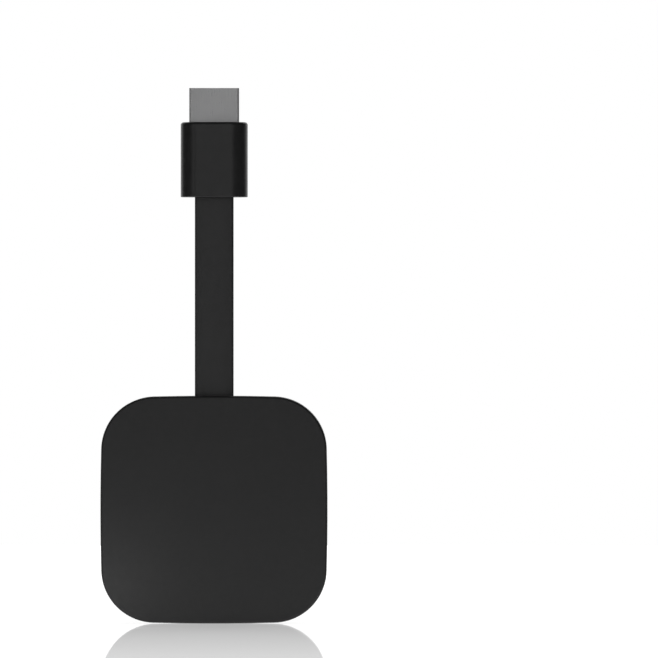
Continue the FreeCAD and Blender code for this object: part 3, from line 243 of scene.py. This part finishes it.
def sheet_metal(name, colour, rough, draw=(1.0, 1.0, 0.03), depth=FINE_RELIEF, scuff=0.12, metal=1.0):
    """Plated sheet: faint lines along the way it was drawn, with softly scuffed patches."""
    finish = Finish(name).plain(Metallic=metal)
    lines = finish.noise(LINE_SIZE, 3.0, draw)
    patches = finish.noise(SCUFF_SIZE, 4.0)
    base = finish.shaded(lines, colour, 0.96, 1.03)
    base = finish.mixed(finish.spread(patches, 0.0, 0.5, SCUFF_SPAN), base, tint(colour, 0.93))
    gloss = finish.spread(lines, rough - 0.03, rough + 0.03)
    gloss = finish.combined(gloss, finish.spread(patches, 0.0, scuff, SCUFF_SPAN))
    return finish.wire(Base_Color=base, Roughness=gloss, Normal=finish.relief(lines, depth, 0.5))


def solder_mask(name, colour):
    """Coated laminate: copper traces and ground fill show through as slightly paler, raised shapes."""
    finish = Finish(name).plain(Coat_Weight=0.3, Coat_Roughness=0.2)
    cells = add(finish.tree, "ShaderNodeTexVoronoi", {"distance": "MANHATTAN", "feature": "F1"},
                Vector=finish.place, Scale=1.0 / TRACE_PITCH, Randomness=0.85).outputs["Distance"]
    traces = finish.spread(cells, 0.0, 1.0, TRACE_SPAN)
    ground = finish.spread(finish.noise(GROUND_SIZE, 0.0), 0.0, 1.0, GROUND_SPAN)
    copper = finish.combined(traces, ground, "MULTIPLY")
    base = finish.mixed(copper, tint(colour), tint(colour, 1.7))
    gloss = finish.spread(finish.noise(WEAVE_SIZE, 2.0), 0.24, 0.34)
    return finish.wire(Base_Color=base, Roughness=gloss, Normal=finish.relief(copper, TRACE_HEIGHT, 0.6))


def cast_body(name, colour, rough, speck, size=0.25 * MM, depth=0.01 * MM):
    """Filled resin, ferrite or ceramic: a fine speckle of filler in a dull surface."""
    finish = Finish(name)
    grains = finish.noise(size, 4.0)
    base = finish.shaded(grains, colour, 1 - speck, 1 + speck)
    gloss = finish.spread(finish.noise(DULL_SIZE, 2.0), rough - 0.05, rough + 0.05)
    return finish.wire(Base_Color=base, Roughness=gloss, Normal=finish.relief(grains, depth, 0.5))


def sleeve(name, colour):
    """Extruded wire sleeves, with fine lines along them and a slow change of shade from one to the next."""
    finish = Finish(name)
    shade = finish.noise(SLEEVE_SIZE, 0.0, (1.0, 1.0, 0.001))
    lines = finish.noise(LINE_SIZE, 2.0, (1.0, 1.0, 0.02))
    base = finish.shaded(shade, colour, 0.55, 1.3, SLEEVE_SPAN)
    gloss = finish.spread(lines, 0.33, 0.45)
    return finish.wire(Base_Color=base, Roughness=gloss, Normal=finish.relief(lines, FINE_RELIEF, 0.4))


def clear_rod(name, colour, rough=0.12):
    """Clear moulding, a little frosted where it was cut from its runner."""
    finish = Finish(name).plain(Transmission_Weight=0.85, IOR=PLASTIC_IOR)
    haze = finish.noise(HAZE_SIZE, 3.0)
    base = finish.shaded(haze, colour, 0.95, 1.0)
    gloss = finish.spread(haze, rough, rough + 0.15)
    return finish.wire(Base_Color=base, Roughness=gloss, Normal=finish.relief(haze, FINE_RELIEF, 0.3))


# One finish for each material of the solids, under the material's name
finishes = {
    "cover_plastic": moulded("cover_finish", (0.006, 0.006, 0.0062), rough=0.45, shine=0.43),
    "plug_plastic": moulded(
        "grip_finish", (0.0045, 0.0045, 0.0047), rough=0.34, shine=0.5, grain=0.15 * MM, depth=0.008 * MM
    ),
    "strap_rubber": moulded(
        "strap_finish", (0.006, 0.006, 0.0062), rough=0.36, shine=0.5, grain=0.12 * MM, edge_polish_and_shade=0.0,
        flow=(1.0, 1.0, 0.12)
    ),
    "button_plastic": moulded(
        "button_finish", (0.012, 0.012, 0.0123), rough=0.4, grain=0.3 * MM, depth=0.004 * MM
    ),
    "plug_steel": sheet_metal(
        "plug_steel_finish", (0.308, 0.308, 0.311), rough=0.3, depth=0.0015 * MM, scuff=0.05, metal=0.6
    ),
    "inlet_steel": sheet_metal("inlet_steel_finish", (0.5, 0.5, 0.505), rough=0.28),
    "shield_steel": sheet_metal("shield_finish", (0.6, 0.6, 0.59), rough=0.36, draw=(0.05, 1.0, 1.0)),
    "screw_steel": sheet_metal("screw_finish", (0.5, 0.5, 0.49), rough=0.3, draw=(1.0, 1.0, 1.0)),
    "insulator_plastic": moulded("insulator_finish", (0.026, 0.026, 0.026), rough=0.45, edge_polish_and_shade=0.0),
    "inner_mould_plastic": moulded(
        "inner_mould_finish", (0.35, 0.35, 0.34), rough=0.4, edge_polish_and_shade=0.0, mottle=0.03
    ),
    "contact_metal": sheet_metal("contact_finish", (0.92, 0.66, 0.28), rough=0.2, scuff=0.06),
    "wire_sleeve": sleeve("wire_finish", (0.55, 0.55, 0.56)),
    "board_laminate": solder_mask("board_finish", (0.012, 0.075, 0.035)),
    "chip_resin": cast_body("chip_finish", (0.022, 0.022, 0.023), rough=0.5, speck=0.25),
    "capacitor_ceramic": cast_body("capacitor_finish", (0.35, 0.25, 0.17), rough=0.4, speck=0.12),
    "coil_ferrite": cast_body("coil_finish", (0.08, 0.08, 0.085), rough=0.6, speck=0.3, depth=0.02 * MM),
    "spreader_aluminium": sheet_metal(
        "spreader_finish", (0.8, 0.8, 0.81), rough=0.32, draw=(0.03, 1.0, 1.0)
    ),
    "gap_pad": cast_body(
        "gap_pad_finish", (0.35, 0.38, 0.45), rough=0.7, speck=0.08, size=0.4 * MM, depth=0.03 * MM
    ),
    "antenna_metal": sheet_metal("antenna_finish", (0.74, 0.71, 0.62), rough=0.3),
    "pipe_clear": clear_rod("pipe_finish", (0.9, 0.92, 0.94)),
    "led_resin": clear_rod("led_finish", (0.85, 0.82, 0.62), rough=0.25),
    "switch_plastic": moulded("switch_finish", (0.05, 0.05, 0.05), rough=0.5, edge_polish_and_shade=0.0),
}
for node in nodes.values():
    slot = node.material_slots[0]
    slot.material = finishes[slot.material.name]


# The strap: every piece of it is built as two halves, upper and lower, one for each place where the real
# strap bends

# The jacket's flat run
STRAP_WIDTH = 10.8 * MM
STRAP_DEPTH = 3.2 * MM
STRAP_EDGE = 0.6 * MM

# The wider anchors at its two ends
PLUG_ANCHOR_WIDTH = 13.0 * MM
PUCK_ANCHOR_WIDTH = 14.0 * MM
ANCHOR_DEPTH = 5.2 * MM
ANCHOR_EDGE = 0.8 * MM
PLUG_ANCHOR_LENGTH = 2.0 * MM
PUCK_ANCHOR_LENGTH = 2.2 * MM

# The conductors, the web of rubber between them and their bare cores
PAIR_RADIUS = 0.7 * MM
WIRE_RADIUS = 0.33 * MM
WEB = 0.18 * MM
BORE_FIT = 0.04 * MM
CORE_RADIUS = 0.1 * MM
CORE_LENGTH = 1.8 * MM
CORE_Y = 0.55 * MM

# How finely the meshes are cut
CORNER_STEPS = 6
ROUND_STEPS = 24
RING_PITCH = 0.7 * MM
SMOOTH_ANGLE = math.radians(40)

jacket_low, jacket_high = (corner.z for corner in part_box("strap_jacket"))
upper_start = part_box("plug_housing")[0].z
lower_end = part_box("front_cover")[1].z
middle = (upper_start + lower_end) / 2


def rounded_outline(width, depth, radius):
    """The corners of a rounded rectangle, counter-clockwise."""
    points = []
    for turn, (sx, sy) in enumerate(((1, 1), (-1, 1), (-1, -1), (1, -1))):
        for step in range(CORNER_STEPS + 1):
            angle = (turn + step / CORNER_STEPS) * math.pi / 2
            x = sx * (width / 2 - radius) + radius * math.cos(angle)
            y = sy * (depth / 2 - radius) + radius * math.sin(angle)
            points.append((x, y))
    return points


def round_outline(x, y, radius):
    turns = [2 * math.pi * k / ROUND_STEPS for k in range(ROUND_STEPS)]
    return [(x + radius * math.cos(turn), y + radius * math.sin(turn)) for turn in turns]


def levels(start, end):
    """Evenly spaced heights from start down to end."""
    count = max(1, round(abs(start - end) / RING_PITCH))
    return [start + (end - start) * k / count for k in range(count + 1)]


def tube(mesh, rings):
    """Walls between outlines at given heights. Returns the first and the last ring of edges."""
    made = [[mesh.verts.new((x, y, z)) for x, y in outline] for outline, z in rings]
    count = len(made[0])
    for above, below in zip(made, made[1:]):
        for k in range(count):
            n = (k + 1) % count
            mesh.faces.new((above[k], above[n], below[n], below[k]))
    ends = []
    for ring in (made[0], made[-1]):
        ends.append([mesh.edges.get((ring[k], ring[(k + 1) % count])) for k in range(count)])
    return ends


def placed(name, mesh, finish):
    """An object in the scene with this mesh and finish."""
    data = bpy.data.meshes.new(name)
    mesh.to_mesh(data)
    mesh.free()
    data.materials.append(finish)
    thing = bpy.data.objects.new(name, data)
    bpy.context.scene.collection.objects.link(thing)
    return thing


def solid_piece(name, mesh, slot):
    """A closed piece, smooth but for its sharp edges, with the finish of its slot."""
    bmesh.ops.recalc_face_normals(mesh, faces=mesh.faces)
    for edge in mesh.edges:
        edge.smooth = edge.is_manifold and edge.calc_face_angle(0.0) < SMOOTH_ANGLE
    for face in mesh.faces:
        face.smooth = True
    piece = placed(name, mesh, finishes[slot])
    return piece


def jacket_half(name, rings, bores):
    """One half of the jacket: its outer wall, its bores and the flat ends between them."""
    mesh = bmesh.new()
    loops = [tube(mesh, rings)]
    heights = [z for _, z in rings]
    for bore in bores:
        loops.append(tube(mesh, [(bore, z) for z in heights]))
    for end in (0, 1):
        bmesh.ops.triangle_fill(mesh, use_beauty=True, edges=[e for loop in loops for e in loop[end]])
    return solid_piece(name, mesh, "strap_rubber")


def conductor_half(name, places, radius, cores, heights, tip):
    """Round conductors, each closed at both ends, with bare cores that stand out at one end."""
    mesh = bmesh.new()
    runs = [(round_outline(x, y, radius), heights) for x, y in places]
    runs += [(round_outline(x, y, CORE_RADIUS), tip) for x, y in cores]
    for outline, zs in runs:
        for loop in tube(mesh, [(outline, z) for z in zs]):
            bmesh.ops.triangle_fill(mesh, use_beauty=True, edges=loop)
    return solid_piece(name, mesh, "wire_sleeve")


# Three wires in the strap's middle, then a pair, two wires and another pair on each side
inner_wire = WIRE_RADIUS + WEB / 2
inner_pair = inner_wire + WIRE_RADIUS + WEB + PAIR_RADIUS
outer_wire = inner_pair + PAIR_RADIUS + WEB + WIRE_RADIUS
outer_pair = outer_wire + WIRE_RADIUS + WEB + PAIR_RADIUS
pair_places = [(sign * x, 0.0) for x in (inner_pair, outer_pair) for sign in (1, -1)]
wire_places = [(a * outer_wire, b * inner_wire) for a in (1, -1) for b in (1, -1)]
wire_places += [(inner_wire, -inner_wire), (-inner_wire, -inner_wire), (0.0, inner_wire)]
pair_cores = [(x, side * CORE_Y) for x, _ in pair_places for side in (1, -1)]
wire_cores = [(x, math.copysign(CORE_Y, y)) for x, y in wire_places]

run = rounded_outline(STRAP_WIDTH, STRAP_DEPTH, STRAP_EDGE)
upper_anchor = rounded_outline(PLUG_ANCHOR_WIDTH, ANCHOR_DEPTH, ANCHOR_EDGE)
lower_anchor = rounded_outline(PUCK_ANCHOR_WIDTH, ANCHOR_DEPTH, ANCHOR_EDGE)
upper_step = jacket_high - PLUG_ANCHOR_LENGTH
lower_step = jacket_low + PUCK_ANCHOR_LENGTH
upper_rings = [(upper_anchor, jacket_high), (upper_anchor, upper_step)]
upper_rings += [(run, z) for z in levels(upper_step, middle)]
lower_rings = [(run, z) for z in levels(middle, lower_step)]
lower_rings += [(lower_anchor, lower_step), (lower_anchor, jacket_low)]
bores = [round_outline(x, y, PAIR_RADIUS + BORE_FIT) for x, y in pair_places]
bores += [round_outline(x, y, WIRE_RADIUS + BORE_FIT) for x, y in wire_places]
upper_jacket = jacket_half("strap_upper_jacket", upper_rings, bores)
lower_jacket = jacket_half("strap_lower_jacket", lower_rings, bores)

cores_low, cores_high = (corner.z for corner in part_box("signal_pairs"))
wires_low = cores_low + CORE_LENGTH
wires_high = cores_high - CORE_LENGTH
upper_heights = levels(wires_high, middle)
lower_heights = levels(middle, wires_low)
halves = [("strap_jacket", upper_jacket, lower_jacket)]
for kind, places, radius, cores in (
    ("signal_pairs", pair_places, PAIR_RADIUS, pair_cores),
    ("single_wires", wire_places, WIRE_RADIUS, wire_cores),
):
    upper = conductor_half(f"{kind}_upper", places, radius, cores, upper_heights, (cores_high, wires_high))
    lower = conductor_half(f"{kind}_lower", places, radius, cores, lower_heights, (wires_low, cores_low))
    halves.append((kind, upper, lower))
for kind, upper, lower in halves:
    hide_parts(kind)
    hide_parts(kind)
    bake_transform(upper)
    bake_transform(lower)


# The floor, the surroundings, the lamps and the camera

# The table top is a disc just under the object
FLOOR_DROP = 0.15 * MM
FLOOR_REACH = 0.9
FLOOR_SIDES = 96
FLOOR_COLOUR = 0.55

# How white the camera sees it, near the object and farther out
SEEN_SPAN = (0.3, 0.7)
SEEN_NEAR = 0.81
SEEN_FAR = 1.3

# How white it looks in mirror images: two patches (centre, reach and strength), the rest of it,
# and a shade where the object stands
WIDE_PATCH = ((0.0, -0.05), 0.11, 1.0)
LEFT_PATCH = ((-0.05, -0.035), 0.06, 0.9)
PATCH_REST = 0.35
CONTACT_SPAN = (0.007, 0.014)
CONTACT_SHADE = 0.6

# Where it is polished, how much of a mirror it is from front to back, and its gloss
POLISH_ACROSS = (0.034, 0.058)
POLISH_FRONT = (-0.36, -0.275)
POLISH_BACK = (0.0, 0.06)
MIRROR_SPAN = (-0.25, 0.0)
MIRROR_SHARES = (0.56, 0.7)
MIRROR_ROUGHNESS = 0.012
MIRROR_IOR = 1.4

# Brightness of the walls, from straight in front of the object at 0 to straight behind it at 1
WALL_STOPS = ((0.0, 0.02), (0.2, 0.05), (0.62, 0.05), (0.75, 0.3), (0.85, 1.0), (1.0, 1.0))
CEILING_SPAN = (0.3, 0.8)
CEILING_BRIGHTNESS = 0.14

# The picture's side and scale, and the pixel that shows the plug's middle
PICTURE = 658
PIXEL = 0.27817 * MM
PLUG_MIDDLE_PIXEL = (213.93, 121.7)
CAMERA_AWAY = 2.5
CAMERA_REACH = 20.0
SENSOR = 36.0

# Near the object's middle, where all lamps but one point
AIM = (0, 0, -0.07)

floor_height = cad_box[0][2] - FLOOR_DROP


def glow_patch(tree, place, centre, reach, strength):
    """A soft round patch of the floor, brightest at its centre."""
    away = add(tree, "ShaderNodeVectorMath", {"operation": "DISTANCE"}, Vector=place)
    away.inputs[1].default_value = (*centre, 0.0)
    return fade(tree, away.outputs["Value"], (0.0, reach), strength, 0.0)


def table_glow(tree, place, y):
    """What the floor gives to the camera, and what it gives to mirrored and refracted rays."""
    rays = add(tree, "ShaderNodeLightPath").outputs
    far = add(tree, "ShaderNodeVectorMath", {"operation": "LENGTH"}, Vector=place).outputs["Value"]
    seen = map_range(tree, far, SEEN_SPAN, SEEN_NEAR, SEEN_FAR)
    seen = math_node(tree, "MULTIPLY", rays["Is Camera Ray"], seen)
    wide = glow_patch(tree, place, *WIDE_PATCH)
    left = glow_patch(tree, place, *LEFT_PATCH)
    patches = math_node(tree, "ADD", wide, left)
    mirrored = math_node(tree, "MINIMUM", math_node(tree, "ADD", patches, PATCH_REST), 1.0)
    shade = fade(tree, math_node(tree, "ABSOLUTE", y), CONTACT_SPAN, CONTACT_SHADE, 1.0)
    mirrored = math_node(tree, "MULTIPLY", mirrored, shade)
    clear = math_node(tree, "MAXIMUM", rays["Is Glossy Ray"], rays["Is Transmission Ray"])
    strength = math_node(tree, "ADD", seen, math_node(tree, "MULTIPLY", clear, mirrored))
    return add(tree, "ShaderNodeEmission", Color=grey(1.0), Strength=strength).outputs[0]


def table_finish():
    """White, with a polished strip before the object that mirrors it. Seen from below it isn't there."""
    material = bpy.data.materials.new("floor_finish")
    material.use_nodes = True
    tree = material.node_tree
    tree.nodes.clear()
    place = add(tree, "ShaderNodeTexCoord").outputs["Object"]
    where = add(tree, "ShaderNodeSeparateXYZ", Vector=place).outputs
    matt = add(tree, "ShaderNodeBsdfDiffuse", Color=grey(FLOOR_COLOUR)).outputs[0]
    body = add(tree, "ShaderNodeAddShader")
    tree.links.new(matt, body.inputs[0])
    tree.links.new(table_glow(tree, place, where["Y"]), body.inputs[1])
    mirror = add(tree, "ShaderNodeBsdfGlossy", Color=grey(1.0), Roughness=MIRROR_ROUGHNESS).outputs[0]
    share = map_range(tree, where["Y"], MIRROR_SPAN, *MIRROR_SHARES)
    for limit in (
        fade(tree, math_node(tree, "ABSOLUTE", where["X"]), POLISH_ACROSS, 1.0, 0.0),
        fade(tree, where["Y"], POLISH_BACK, 1.0, 0.0),
        fade(tree, where["Y"], POLISH_FRONT, 0.0, 1.0),
        add(tree, "ShaderNodeFresnel", IOR=MIRROR_IOR).outputs[0],
    ):
        share = math_node(tree, "MULTIPLY", share, limit)
    top = mixed_shader(tree, share, body.outputs[0], mirror)
    from_below = add(tree, "ShaderNodeNewGeometry").outputs["Backfacing"]
    nothing = add(tree, "ShaderNodeBsdfTransparent").outputs[0]
    surface = mixed_shader(tree, from_below, top, nothing)
    tree.links.new(surface, add(tree, "ShaderNodeOutputMaterial").inputs["Surface"])
    return material


def make_floor():
    mesh = bmesh.new()
    bmesh.ops.create_circle(mesh, cap_ends=True, segments=FLOOR_SIDES, radius=FLOOR_REACH)
    floor = placed("floor", mesh, table_finish())
    floor.location = (0, 0, floor_height)


def surroundings():
    """White to the camera. To everything else: a white wall behind, a dim ceiling, dark front and sides."""
    world = bpy.data.worlds.new("studio")
    bpy.context.scene.world = world
    world.use_nodes = True
    tree = world.node_tree
    tree.nodes.clear()
    axes = add(tree, "ShaderNodeSeparateXYZ", Vector=add(tree, "ShaderNodeTexCoord").outputs["Generated"])
    walls = add(tree, "ShaderNodeValToRGB")
    tree.links.new(map_range(tree, axes.outputs["Y"], (-1.0, 1.0), 0.0, 1.0), walls.inputs[0])
    stops = walls.color_ramp.elements
    for stop, (position, value) in zip(stops, (WALL_STOPS[0], WALL_STOPS[-1])):
        stop.position = position
        stop.color = grey(value)
    for position, value in WALL_STOPS[1:-1]:
        stops.new(position).color = grey(value)
    ceiling = fade(tree, axes.outputs["Z"], CEILING_SPAN, 0.0, CEILING_BRIGHTNESS)
    brightness = math_node(tree, "MAXIMUM", walls.outputs[0], ceiling)
    studio = add(tree, "ShaderNodeBackground", Color=grey(1.0), Strength=brightness).outputs[0]
    white = add(tree, "ShaderNodeBackground", Color=grey(1.0)).outputs[0]
    camera_ray = add(tree, "ShaderNodeLightPath").outputs["Is Camera Ray"]
    shown = mixed_shader(tree, camera_ray, studio, white)
    tree.links.new(shown, add(tree, "ShaderNodeOutputWorld").inputs["Surface"])


def lamp(name, place, size, power, target=AIM, glints=True):
    """A soft lamp that the camera doesn't see. Without glints it isn't mirrored in surfaces either."""
    data = bpy.data.lights.new(name, "AREA")
    data.shape = "RECTANGLE"
    data.size, data.size_y = size
    data.energy = power
    light = bpy.data.objects.new(name, data)
    light.location = place
    light.rotation_euler = (Vector(target) - Vector(place)).to_track_quat("-Z", "Y").to_euler()
    light.visible_camera = False
    light.visible_glossy = glints
    bpy.context.scene.collection.objects.link(light)


def make_camera():
    """A long lens square on to the face, framed as the photograph is."""
    data = bpy.data.cameras.new("camera")
    data.sensor_width = SENSOR
    data.lens = SENSOR * CAMERA_AWAY / (PICTURE * PIXEL)
    data.clip_end = CAMERA_REACH
    camera = bpy.data.objects.new("camera", data)
    across = (PICTURE / 2 - PLUG_MIDDLE_PIXEL[0]) * PIXEL
    down = (PICTURE / 2 - PLUG_MIDDLE_PIXEL[1]) * PIXEL
    front = cad_box[0][1]
    camera.location = (across, front - CAMERA_AWAY, -down)
    camera.rotation_euler = (math.pi / 2, 0, 0)
    bpy.context.scene.collection.objects.link(camera)
    bpy.context.scene.camera = camera


make_floor()
surroundings()
lamp("high", place=(0.0, -1.1, 0.4), size=(0.9, 0.6), power=8.6, glints=False)
lamp("front", place=(0.0, -1.35, 0.2), size=(0.4, 0.6), power=0.7)
lamp("front_left", place=(-0.55, -1.15, 0.2), size=(0.3, 0.6), power=0.5)
lamp("low_left", place=(-0.039, -0.053, -0.131), size=(0.033, 0.006), power=0.003, target=(-0.028, 0, -0.107))
lamp("rear_left", place=(-0.6, 0.95, 0.3), size=(0.4, 0.4), power=2.0, glints=False)
lamp("rear_right", place=(0.6, 0.95, 0.3), size=(0.4, 0.4), power=3.0, glints=False)
make_camera()
bpy.context.scene.view_settings.view_transform = "Standard"
